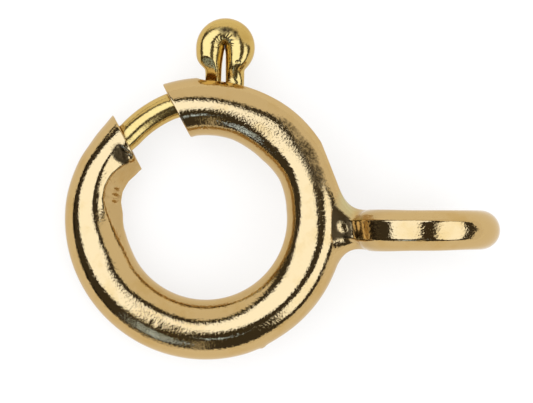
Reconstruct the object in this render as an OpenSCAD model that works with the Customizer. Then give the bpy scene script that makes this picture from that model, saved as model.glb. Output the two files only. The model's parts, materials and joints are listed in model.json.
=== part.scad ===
// Spring ring clasp: a hollow C-shaped tube ring with a soldered end ring, a sliding
// bolt whose folded wire trigger stands out of a slot, and the spring that closes it.
// Millimetres. The clasp is laid out flat in its own plane, with the ring centred on
// the origin, the end ring towards +X and the ring's axis along +Z. seat() then sets
// it down as it rests on a table, on its end ring and on the far side of the tube.

/* [Tube ring] */
// Outside diameter of the tube ring
ring_od = 6; // [5.6:0.1:6.8]
// Outside diameter of the tube
tube_od = 1.28; // [1.22:0.02:1.4]
// Wall thickness of the tube
tube_wall = 0.2; // [0.16:0.01:0.22]

/* [Mouth] */
// Direction of the cut that opens the mouth, counter-clockwise from the end ring
mouth_angle = 118; // [112:0.2:126]
// Width of the cut, whose sides are parallel
mouth_width = 1.25; // [1:0.01:1.4]
// Distance of the cut's middle from the ring's centre, away from the trigger
mouth_offset = 0.1; // [0:0.01:0.15]

/* [Trigger slot] */
// Width of the slot that the trigger slides in
slot_width = 0.51; // [0.42:0.01:0.56]
// Room beyond the trigger's neck at each end of its travel
slot_end_room = 0.12; // [0.06:0.01:0.2]

/* [Crimp and flat] */
// Direction of the crimp that stops the spring
crimp_angle = 165; // [162:1:172]
// Depth to which the crimp presses the wall in
crimp_depth = 0.22; // [0.16:0.01:0.26]
// Radius of the round tool that made the crimp
crimp_tool_r = 0.95; // [0.85:0.05:1.1]
// Angle of the tool above and below the ring's plane
crimp_tool_lean = 34; // [30:1:38]
// Direction of the flat worn beside the solder joint
flat_angle = 22; // [18:1:24]
// Depth of that flat
flat_depth = 0.12; // [0.08:0.005:0.13]

/* [Bolt] */
// Diameter of the bolt's wire
tongue_d = 0.57; // [0.5:0.01:0.62]
// Running clearance between the wire and the bore's outer side
tongue_clearance = 0.08; // [0.03:0.01:0.12]
// Length of the tip that reaches past the mouth into the tube
tongue_engagement = 0.48; // [0.4:0.02:0.6]
// Diameter of the tail that guides the spring
tail_d = 0.34; // [0.26:0.02:0.36]
// Length of the tail past the trigger's neck
tail_length = 0.6; // [0.4:0.05:0.9]

/* [Trigger] */
// Direction in which the trigger leaves the tube
trigger_angle = 82.3; // [80:0.1:84]
// Lean of the trigger from the radial direction
trigger_lean = 6.4; // [0:0.1:8]
// Diameter of the folded head
head_d = 1.25; // [1.1:0.01:1.35]
// Thickness of the wire in the head
head_wire_d = 0.64; // [0.56:0.01:0.66]
// Height of the head's centre above the tube
head_height = 0.665; // [0.64:0.01:0.8]
// Width of the neck across both legs
neck_width = 0.825; // [0.7:0.01:0.9]
// Gap between the two legs
slit_width = 0.13; // [0.06:0.01:0.15]
// Running clearance between the neck and each side of the slot
slot_clearance = 0.04; // [0.02:0.01:0.06]

/* [End ring] */
// Outside diameter of the end ring
eye_od = 3.16; // [3:0.02:3.5]
// Diameter of the end ring's wire
eye_wire_d = 0.86; // [0.75:0.01:0.95]
// Solder thickness between the tube and the end ring
eye_gap = 0.095; // [0.04:0.005:0.1]
// Distance of the end ring's plane below the ring's centre line
eye_offset = 0.25; // [0.1:0.01:0.3]

/* [Solder] */
// Fillet radius on the side of the flat
fillet_upper_r = 0.7; // [0.5:0.01:0.8]
// Fillet radius on the other side
fillet_lower_r = 0.5; // [0.4:0.01:0.6]
// Fillet radius above and below the ring's plane
fillet_side_r = 0.3; // [0.2:0.01:0.4]

/* [Return spring] */
// Diameter of the spring's wire
spring_wire_d = 0.11; // [0.09:0.01:0.12]
// Clearance between the coils and the bore
spring_clearance = 0.045; // [0.03:0.005:0.06]
// Clearance between the spring and the trigger's neck
spring_end_gap = 0.04; // [0.02:0.01:0.08]
// Number of turns
spring_turns = 30; // [24:1:34]

/* [Hidden] */
$fn = 96;

// How far cuts and joins run past the faces that they meet
overlap = 0.3;
// Round of a bar's end, as a share of the bar's own radius
end_round_share = 0.96;
// How deep the solder's curves bite into the metal that they run out on
solder_bite = 0.025;
// Flat segments for each turn of the spring, and sides of its wire
turn_steps = 12;
wire_sides = 6;
// Closed turns at each end of the spring, and their pitch in wire diameters
end_turns = 1;
end_pitch = 1.15;
// Share of the crimp tool's patch that the spring's end keeps away from
crimp_stop_share = 1.15;

ring_r = ring_od / 2;
tube_r = tube_od / 2;
bore_r = tube_r - tube_wall;
path_r = ring_r - tube_r;

tongue_r = tongue_d / 2;
tongue_path_r = path_r + bore_r - tongue_r - tongue_clearance;
// The mouth's two edges at the bolt's wire
mouth_from = mouth_angle - asin((mouth_width / 2 - mouth_offset) / tongue_path_r);
mouth_to = mouth_angle + asin((mouth_width / 2 + mouth_offset) / tongue_path_r);
engagement_angle = tongue_engagement / tongue_path_r * 180 / PI;
tip_angle = mouth_to + engagement_angle;
travel = tip_angle - mouth_from;

head_r = head_d / 2;
neck_depth = ring_r - tongue_path_r;
neck_thickness = slot_width - 2 * slot_clearance;
neck_round_r = neck_thickness / 2;
neck_flat = neck_width - neck_thickness;
slot_end_angle = asin((neck_flat / 2 + slot_end_room) / ring_r);
slot_from = trigger_angle - travel - slot_end_angle;
slot_to = trigger_angle + slot_end_angle;

eye_r = eye_od / 2;
eye_wire_r = eye_wire_d / 2;
eye_path_r = eye_r - eye_wire_r;
eye_x = ring_r + eye_gap + eye_r;
eye_left_x = eye_x - eye_path_r;

// The tilt at which the end ring and the far side of the tube both touch the table
rest_tilt = asin((eye_r - tube_r) / (path_r + eye_x));
left_x = -(path_r * cos(rest_tilt) + tube_r);
right_x = eye_x * cos(rest_tilt) + eye_r;
head_top_y = trigger_point([0, head_height])[1] + head_r;
centre_x = -(left_x + right_x) / 2;
centre_y = -(head_top_y - ring_r) / 2;
centre_z = path_r * sin(rest_tilt) + tube_r;

// A point of the trigger's own drawing, x across it and y out of the tube, in the ring's plane
function trigger_point(p) =
    let (axis = trigger_angle + trigger_lean)
    [
        ring_r * cos(trigger_angle) + p[0] * sin(axis) + p[1] * cos(axis),
        ring_r * sin(trigger_angle) - p[0] * cos(axis) + p[1] * sin(axis)
    ];
function direction_of(p) = atan2(p[1], p[0]);

// Direction of the neck's far edge, at the bolt's wire
neck_edge_angle = direction_of(trigger_point([neck_width / 2, -neck_depth]));
// Half of the angle along the tube that the crimp takes up
crimp_reach = sqrt(2 * crimp_depth / (1 / crimp_tool_r - 1 / ring_r)) * crimp_stop_share;
crimp_half_angle = crimp_reach / path_r * 180 / PI;

coil_r = bore_r - spring_clearance - spring_wire_d / 2;
spring_from = neck_edge_angle - (spring_end_gap + spring_wire_d / 2) / path_r * 180 / PI;
spring_to = crimp_angle + crimp_half_angle - 360;

// Sets the clasp down on the table, with the middle of its underside at the origin
module seat() {
    translate([centre_x, centre_y, centre_z]) rotate([0, -rest_tilt, 0]) children();
}

// A round bar bent round the ring's axis from one direction to another
module bent_bar(bend_r, bar_r, from, to) {
    rotate([0, 0, from]) rotate_extrude(angle = to - from) translate([bend_r, 0]) circle(bar_r);
}

// The round end of a bent bar
module bar_end(bend_r, bar_r, at) {
    rotate([0, 0, at]) translate([bend_r, 0, 0]) sphere(bar_r * end_round_share);
}

// The part of the tube ring that a cut of the given radius runs through
module tube_path(r) {
    bent_bar(path_r, r, (mouth_angle + mouth_to) / 2 - 360, (mouth_angle + mouth_from) / 2);
}

// The round tool's two strokes, from inside the ring, above and below its plane
module crimp_tool(r) {
    stroke = tube_r - crimp_depth + crimp_tool_r;
    for (side = [-1, 1])
        rotate([0, 0, crimp_angle])
            translate([path_r - stroke * cos(crimp_tool_lean), 0, side * stroke * sin(crimp_tool_lean)])
                sphere(r);
}

module mouth_cut() {
    rotate([0, 0, mouth_angle])
        translate([path_r - tube_r - overlap, mouth_offset - mouth_width / 2, -tube_r - overlap])
            cube([tube_od + 2 * overlap, mouth_width, tube_od + 2 * overlap]);
}

// The trigger's slot, with round ends, through the tube's outer wall alone
module slot_cut() {
    rotate([0, 0, slot_from])
        rotate_extrude(angle = slot_to - slot_from)
            translate([path_r, -slot_width / 2]) square([tube_r + overlap, slot_width]);
    for (end = [slot_from, slot_to])
        rotate([0, 0, end]) rotate([0, 90, 0]) translate([0, 0, path_r])
            cylinder(h = tube_r + overlap, r = slot_width / 2);
}

module flat_cut() {
    rotate([0, 0, flat_angle])
        translate([ring_r - flat_depth, -ring_r / 2, -tube_r - overlap])
            cube([tube_r, ring_r, tube_od + 2 * overlap]);
}

// Solder seen from above: the bar of the joint and a curve on each side of it
module solder_plan() {
    bar = eye_wire_r - solder_bite;
    flat_x = ring_r - flat_depth - solder_bite;
    upper_y = -eye_offset + bar + fillet_upper_r;
    upper_x = (flat_x + fillet_upper_r - upper_y * sin(flat_angle)) / cos(flat_angle);
    lower_y = -eye_offset - bar - fillet_lower_r;
    lower_reach = ring_r - solder_bite + fillet_lower_r;
    lower_x = sqrt(lower_reach ^ 2 - lower_y ^ 2);
    difference() {
        polygon([
            [path_r, -eye_offset],
            [upper_x - (fillet_upper_r + overlap) * cos(flat_angle),
             upper_y - (fillet_upper_r + overlap) * sin(flat_angle)],
            [upper_x - fillet_upper_r * cos(flat_angle), upper_y - fillet_upper_r * sin(flat_angle)],
            [upper_x, upper_y - fillet_upper_r],
            [max(eye_left_x, upper_x, lower_x) + solder_bite, -eye_offset + bar],
            [max(eye_left_x, upper_x, lower_x) + solder_bite, -eye_offset - bar],
            [lower_x, lower_y + fillet_lower_r],
            [lower_x, lower_y] * (1 - fillet_lower_r / lower_reach),
            [lower_x, lower_y] * (1 - (fillet_lower_r + overlap) / lower_reach)
        ]);
        translate([upper_x, upper_y]) circle(fillet_upper_r);
        translate([lower_x, lower_y]) circle(fillet_lower_r);
    }
}

// Solder seen from the side: the curves between the tube's round and the end ring's round
module solder_side() {
    to_tube = tube_r - solder_bite + fillet_side_r;
    to_eye = eye_r - solder_bite + fillet_side_r;
    span = eye_x - path_r;
    x = (to_tube ^ 2 - to_eye ^ 2 + span ^ 2) / (2 * span);
    y = sqrt(to_tube ^ 2 - x ^ 2);
    difference() {
        polygon([[0, 0], [x, y], [span, 0], [x, -y]]);
        translate([x, y]) circle(fillet_side_r);
        translate([x, -y]) circle(fillet_side_r);
    }
}

module solder_joint() {
    intersection() {
        translate([0, 0, -eye_r]) linear_extrude(2 * eye_r) solder_plan();
        translate([path_r, ring_r, 0]) rotate([90, 0, 0]) linear_extrude(2 * ring_r) solder_side();
    }
}

module end_ring() {
    translate([eye_x, -eye_offset, 0]) rotate([90, 0, 0])
        rotate_extrude() translate([eye_path_r, 0]) circle(eye_wire_r);
}

// The hollow tube ring, open at its mouth, with the end ring soldered on
module clasp_body() {
    color("#d9ab6b") seat() difference() {
        union() {
            difference() {
                tube_path(tube_r);
                flat_cut();
                crimp_tool(crimp_tool_r);
            }
            solder_joint();
            end_ring();
        }
        difference() {
            tube_path(bore_r);
            crimp_tool(crimp_tool_r + tube_wall);
        }
        mouth_cut();
        slot_cut();
    }
}

// Sets the trigger, drawn with x across it and y out of the tube, at its place on the ring
module trigger() {
    translate([ring_r * cos(trigger_angle), ring_r * sin(trigger_angle), 0])
        rotate([0, 0, trigger_angle + trigger_lean - 90]) children();
}

module head() {
    bend_r = head_r - head_wire_d / 2;
    translate([0, head_height, 0]) rotate_extrude() intersection() {
        translate([bend_r, 0]) circle(head_wire_d / 2);
        translate([0, -head_wire_d]) square([head_d, 2 * head_wire_d]);
    }
}

module neck() {
    translate([0, -neck_depth, 0]) rotate([-90, 0, 0])
        linear_extrude(neck_depth + head_height - head_r / 2) {
            square([neck_flat, neck_thickness], center = true);
            for (side = [-1, 1]) translate([side * neck_flat / 2, 0]) circle(neck_round_r);
        }
}

module slit() {
    bottom = neck_depth + tongue_d;
    translate([-slit_width / 2, -bottom, -head_wire_d])
        cube([slit_width, bottom + head_height - slit_width / 2, 2 * head_wire_d]);
}

// One length of wire: the tongue, the folded trigger and the tail that guides the spring
module trigger_bolt() {
    shoulder = neck_edge_angle + (neck_round_r / tongue_path_r) * 180 / PI;
    tail_end = neck_edge_angle - tail_length / tongue_path_r * 180 / PI;
    color("#c9b26a") seat() difference() {
        union() {
            bent_bar(tongue_path_r, tongue_r, shoulder, tip_angle - tongue_r / tongue_path_r * 180 / PI);
            bar_end(tongue_path_r, tongue_r, tip_angle - tongue_r / tongue_path_r * 180 / PI);
            bent_bar(tongue_path_r, tail_d / 2, tail_end, shoulder + 1);
            bar_end(tongue_path_r, tail_d / 2, tail_end);
            trigger() {
                head();
                neck();
            }
        }
        trigger() slit();
    }
}

// Direction of the spring's wire after the given number of turns
function turn_angle(turn) =
    let (closed = end_turns * end_pitch * spring_wire_d / path_r * 180 / PI)
    lookup(turn, [
        [0, spring_from],
        [end_turns, spring_from - closed],
        [spring_turns - end_turns, spring_to + closed],
        [spring_turns, spring_to]
    ]);
// The middle of the spring's wire after the given number of turns
function coil_point(turn) =
    let (at = turn_angle(turn), r = path_r + coil_r * cos(360 * turn))
    [r * cos(at), r * sin(at), coil_r * sin(360 * turn)];
// The direction from the coil's own centre line out to its wire
function coil_out(turn) =
    let (at = turn_angle(turn))
    [cos(360 * turn) * cos(at), cos(360 * turn) * sin(at), sin(360 * turn)];
function unit(v) = v / norm(v);
function coil_along(turn, step) = unit(coil_point(turn + step) - coil_point(turn - step));

// A wire of few sides, swept along the coil
module return_spring() {
    steps = spring_turns * turn_steps;
    rings = [for (i = [0:steps])
        let (
            turn = i / turn_steps,
            out = coil_out(turn),
            side = unit(cross(coil_along(turn, 1 / turn_steps / 4), out))
        )
        for (k = [0:wire_sides - 1])
            coil_point(turn) + spring_wire_d / 2
                * (out * cos(360 * k / wire_sides) + side * sin(360 * k / wire_sides))];
    walls = [for (i = [0:steps - 1], k = [0:wire_sides - 1])
        let (
            a = i * wire_sides + k,
            b = i * wire_sides + (k + 1) % wire_sides,
            c = b + wire_sides,
            d = a + wire_sides
        )
        each [[a, c, b], [a, d, c]]];
    first = [for (k = [0:wire_sides - 1]) k];
    last = [for (k = [wire_sides - 1:-1:0]) steps * wire_sides + k];
    color("#b8b4a8") seat() polyhedron(points = rings, faces = concat([first], walls, [last]));
}

clasp_body();
trigger_bolt();
return_spring();
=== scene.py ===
"""A gold spring ring clasp, dressed for a close studio picture from straight above its ring."""
import json
import logging
import math
from dataclasses import dataclass
from enum import Enum

import bmesh
import bpy
import numpy as np
from mathutils import Matrix


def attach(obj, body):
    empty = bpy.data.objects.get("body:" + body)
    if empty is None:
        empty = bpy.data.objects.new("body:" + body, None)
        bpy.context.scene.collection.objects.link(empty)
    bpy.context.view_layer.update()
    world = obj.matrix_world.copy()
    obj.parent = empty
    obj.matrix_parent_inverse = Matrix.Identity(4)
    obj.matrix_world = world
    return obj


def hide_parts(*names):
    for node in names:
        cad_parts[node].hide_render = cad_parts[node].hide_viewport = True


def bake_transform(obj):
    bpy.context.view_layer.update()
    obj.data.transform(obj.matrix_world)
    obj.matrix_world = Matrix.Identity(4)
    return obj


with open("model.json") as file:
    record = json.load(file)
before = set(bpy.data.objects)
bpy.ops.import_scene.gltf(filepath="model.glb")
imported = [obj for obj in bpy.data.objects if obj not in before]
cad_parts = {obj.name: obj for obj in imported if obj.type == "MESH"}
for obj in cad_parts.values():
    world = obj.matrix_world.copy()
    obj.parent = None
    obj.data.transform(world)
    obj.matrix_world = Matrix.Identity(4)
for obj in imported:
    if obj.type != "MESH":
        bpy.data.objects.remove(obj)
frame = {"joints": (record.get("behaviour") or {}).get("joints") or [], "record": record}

logging.basicConfig(level=logging.INFO, format="%(message)s")
log = logging.getLogger("clasp")

MM = 0.001
PHOTO_WIDTH_PX = 533
MM_PER_PX = 0.02126
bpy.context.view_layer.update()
# Two worn faces round into each other over this many millimetres.
BLUNT = 0.02
# The least cosine for which the radius of a plane is worked out, and the radius that stands for none.
LEAST_COSINE, NO_PLANE = 0.3, 9.0


class Body(Enum):
    """The two bodies that the pieces ride on."""

    RING = "ring"
    BOLT = "bolt"


class Slot(Enum):
    """The record's material slots."""

    TUBE = "tube_gold"
    WIRE = "wire_gold"
    STEEL = "spring_steel"


def linear(hex_colour: str) -> tuple[float, float, float, float]:
    """An sRGB hex colour, such as "D1AB78", as linear red, green, blue and alpha.

    Args:
        hex_colour: Six hex digits, two for each channel.

    Returns:
        The linear channels, with an alpha of one.
    """
    channels = np.array([int(hex_colour[i:i + 2], 16) / 255 for i in (0, 2, 4)])
    low = channels / 12.92
    high = ((channels + 0.055) / 1.055) ** 2.4
    red, green, blue = np.where(channels <= 0.04045, low, high)
    return float(red), float(green), float(blue), 1.0


def ease(x: np.ndarray, start: float, end: float) -> np.ndarray:
    """A smooth step from 0 at start to 1 at end, by three t squared less two t cubed.

    Args:
        x: Values to weigh.
        start: Where the step leaves 0.
        end: Where it reaches 1.

    Returns:
        Weights from 0 to 1, of the shape of x.
    """
    t = np.clip((x - start) / (end - start), 0, 1)
    return t * t * (3 - 2 * t)


def plateau(x: np.ndarray, rise: float, full: float, fall: float, end: float) -> np.ndarray:
    """A weight that eases from 0 to 1 between rise and full, and back to 0 between fall and end."""
    return ease(x, rise, full) * (1 - ease(x, fall, end))


def soft_min(a: np.ndarray, b: np.ndarray, width: float) -> np.ndarray:
    """The lesser of two arrays, with the corner where they cross rounded over the given width.

    The rounding takes the square of the overlap, divided by four widths, off the lesser value.
    """
    return np.minimum(a, b) - np.maximum(width - np.abs(a - b), 0) ** 2 / (4 * width)


@dataclass(frozen=True)
class Seat:
    """Where the clasp's own drawing lies in the row frame.

    The drawing has the ring's middle at its origin, the end ring towards x and the ring's axis along z.

    Attributes:
        centre: The ring's middle in millimetres.
        across: Direction of the drawing's x.
        along: Direction of its y.
        axis: Direction of its z.
    """

    centre: np.ndarray
    across: np.ndarray
    along: np.ndarray
    axis: np.ndarray

    @classmethod
    def from_joint(cls, joint: dict) -> "Seat":
        """The seat that the bolt's hinge gives, as its axis is the ring's own.

        Args:
            joint: The joint's place and axis, as the frame gives them.

        Returns:
            The seat.
        """
        axis = np.array(joint["axis"], float)
        axis /= np.linalg.norm(axis)
        along = np.array([0.0, 1.0, 0.0])
        return cls(np.array(joint["pos_m"], float) / MM, np.cross(along, axis), along, axis)

    def place(self, points: np.ndarray) -> np.ndarray:
        """Points of the drawing, in millimetres, as points of the row frame, in metres.

        Args:
            points: An array whose last axis holds x, y and z.

        Returns:
            The same points turned by the seat's three directions and moved to its centre.
        """
        return (points @ np.stack([self.across, self.along, self.axis]) + self.centre) * MM

    def direction(self, spread: np.ndarray) -> np.ndarray:
        """Directions for the points of a flat map of the sky above the ring.

        A point's distance from the map's middle is the angle from the ring's axis, in degrees.

        Args:
            spread: An array whose last axis holds the map's x and y.

        Returns:
            Unit directions in the row frame.
        """
        angle = np.hypot(spread[..., 0], spread[..., 1])
        share = np.sin(np.radians(angle)) / np.maximum(angle, 1e-9)
        local = np.stack([spread[..., 0] * share, spread[..., 1] * share, np.cos(np.radians(angle))], -1)
        return local @ np.stack([self.across, self.along, self.axis])


def grid_faces(rows: int, columns: int) -> np.ndarray:
    """The four-sided faces of a grid, as rows of four point numbers."""
    at = np.arange(rows * columns).reshape(rows, columns)
    return np.stack([at[:-1, :-1], at[:-1, 1:], at[1:, 1:], at[1:, :-1]], -1).reshape(-1, 4)


@dataclass
class Sheet:
    """A grid of points, in millimetres in the clasp's drawing.

    Attributes:
        points: Rows by columns by x, y and z.
        grain: Rows by columns by two lengths along the surface, in millimetres, for its UV map.
        solder: Rows by columns of the share of pale solder in the metal, from 0 to 1.
        worn: Rows by columns of how rough and pitted the metal is, and how far its colour is painted dark as
            a dark reflection, from 0 to 1.
    """

    points: np.ndarray
    grain: np.ndarray
    solder: np.ndarray | None = None
    worn: np.ndarray | None = None


@dataclass
class Shell:
    """A closed mesh sewn from sheets that share their edges.

    Attributes:
        name: The piece's name.
        sheets: Its sheets.
        sharp_deg: The least angle between two faces at which their edge is drawn sharp.
        weld_mm: How near to each other two points are merged.
    """

    name: str
    sheets: list[Sheet]
    sharp_deg: float = 50.0
    weld_mm: float = 0.0002

    def build(self, seat: Seat) -> bpy.types.Object:
        """Makes the object, with its doubles merged and its faces turned outwards.

        Args:
            seat: Where the clasp's drawing lies in the row frame.

        Returns:
            The object, at the origin, with a UV map in millimetres and its solder and worn attributes.
        """
        points, faces, grain, marks, start = [], [], [], {"solder": [], "worn": []}, 0
        for sheet in self.sheets:
            rows, columns = sheet.points.shape[:2]
            points.append(sheet.points.reshape(-1, 3))
            grain.append(sheet.grain.reshape(-1, 2))
            for mark, values in marks.items():
                value = getattr(sheet, mark)
                values.append(np.zeros(rows * columns) if value is None else value.reshape(-1))
            faces.append(start + grid_faces(rows, columns))
            start += rows * columns
        corners = np.concatenate(faces)
        mesh = bpy.data.meshes.new(self.name)
        mesh.vertices.add(start)
        mesh.vertices.foreach_set("co", seat.place(np.concatenate(points)).astype(np.float32).ravel())
        mesh.loops.add(corners.size)
        mesh.loops.foreach_set("vertex_index", corners.ravel().astype(np.int32))
        mesh.polygons.add(len(corners))
        mesh.polygons.foreach_set("loop_start", np.arange(0, corners.size, 4, dtype=np.int32))
        mesh.update(calc_edges=True)
        lengths = mesh.uv_layers.new(name="surface_mm")
        lengths.data.foreach_set("uv", np.concatenate(grain)[corners.ravel()].astype(np.float32).ravel())
        for mark, values in marks.items():
            share = mesh.attributes.new(mark, "FLOAT", "POINT")
            share.data.foreach_set("value", np.concatenate(values).astype(np.float32))
        shell = bmesh.new()
        shell.from_mesh(mesh)
        bmesh.ops.remove_doubles(shell, verts=shell.verts, dist=self.weld_mm * MM)
        bmesh.ops.dissolve_degenerate(shell, edges=shell.edges, dist=self.weld_mm * MM)
        bmesh.ops.recalc_face_normals(shell, faces=shell.faces)
        if shell.calc_volume(signed=True) < 0:
            bmesh.ops.reverse_faces(shell, faces=shell.faces)
        open_edges = sum(not edge.is_manifold for edge in shell.edges)
        shell.to_mesh(mesh)
        shell.free()
        mesh.polygons.foreach_set("use_smooth", np.ones(len(mesh.polygons), bool))
        mesh.set_sharp_from_angle(angle=math.radians(self.sharp_deg))
        if open_edges:
            log.info("%s has %d open edges", self.name, open_edges)
        return put_in_scene(self.name, mesh)


def arc_lengths(points: np.ndarray, axis: int) -> np.ndarray:
    """Lengths along a grid's rows or columns, each the sum of the steps before it."""
    steps = np.linalg.norm(np.diff(points, axis=axis), axis=-1)
    pad = [(1, 0) if k == axis else (0, 0) for k in range(2)]
    return np.pad(np.cumsum(steps, axis=axis), pad)


def surface_lengths(points: np.ndarray) -> np.ndarray:
    """The two lengths of a grid's points along it, taken along the middle row and each column's own row."""
    along = np.broadcast_to(arc_lengths(points, 0).mean(1)[:, None], points.shape[:2])
    return np.stack([along, arc_lengths(points, 1)], -1)


def round_bar(path: np.ndarray, radii: np.ndarray, up: np.ndarray, columns: int) -> Sheet:
    """A round section carried along a path, whose radius may shrink to nothing at its ends.

    Each row is the path's point, plus the radius times the cosine of the section angle along the side
    direction and its sine along the up direction, where side is the path's run crossed with up.

    Args:
        path: Points of the bar's middle line, in millimetres.
        radii: The section's radius at each of them.
        up: A direction across the path at each of them.
        columns: Number of points round the section.

    Returns:
        The bar's sheet, with its first and last columns on each other.
    """
    run = np.gradient(path, axis=0)
    run /= np.linalg.norm(run, axis=1, keepdims=True)
    side = np.cross(run, up)
    side /= np.linalg.norm(side, axis=1, keepdims=True)
    over = np.cross(side, run)
    turn = np.linspace(0, 2 * np.pi, columns + 1)
    section = np.cos(turn)[None, :, None] * side[:, None] + np.sin(turn)[None, :, None] * over[:, None]
    points = path[:, None] + radii[:, None, None] * section
    lengths = np.stack(np.broadcast_arrays(
        np.concatenate([[0], np.cumsum(np.linalg.norm(np.diff(path, axis=0), axis=1))])[:, None],
        turn[None] * radii.max()), -1)
    return Sheet(points, lengths)


def round_end(radius: np.ndarray, distance: np.ndarray, end_r: float) -> np.ndarray:
    """A bar's radii with a round end.

    Nearer to the end than its radius, they are the root of that radius squared less the square of what
    is left of it.

    Args:
        radius: The radii of the plain bar.
        distance: How far each of them is from the bar's end.
        end_r: The bar's radius at the end.

    Returns:
        The radii, of the shape of radius.
    """
    ball = np.sqrt(np.maximum(end_r ** 2 - (end_r - distance) ** 2, 0))
    return np.where(distance < end_r, ball, radius)


def add_node(tree: bpy.types.NodeTree, kind: str, links: dict | None = None,
             **settings: object) -> bpy.types.Node:
    """Adds a shader node, sets its properties and inputs, and links it.

    Args:
        tree: The node tree.
        kind: The node's type, such as "ShaderNodeBump".
        links: For each input, by name or number, the output socket that feeds it or its plain value.
        settings: Properties of the node itself.

    Returns:
        The new node.
    """
    node = tree.nodes.new(kind)
    for name, value in settings.items():
        setattr(node, name, value)
    for key, value in (links or {}).items():
        if isinstance(value, bpy.types.NodeSocket):
            tree.links.new(value, node.inputs[key])
        else:
            node.inputs[key].default_value = value
    return node


def empty_material(name: str) -> tuple[bpy.types.Material, bpy.types.NodeTree]:
    """A new material whose node tree is empty.

    Args:
        name: The material's name.

    Returns:
        The material and its node tree.
    """
    made = bpy.data.materials.new(name)
    made.use_nodes = True
    made.node_tree.nodes.clear()
    return made, made.node_tree


def put_in_scene(name: str, data: bpy.types.ID) -> bpy.types.Object:
    """A new object of a mesh or camera, at the origin of the scene."""
    obj = bpy.data.objects.new(name, data)
    bpy.context.scene.collection.objects.link(obj)
    return obj


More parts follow.
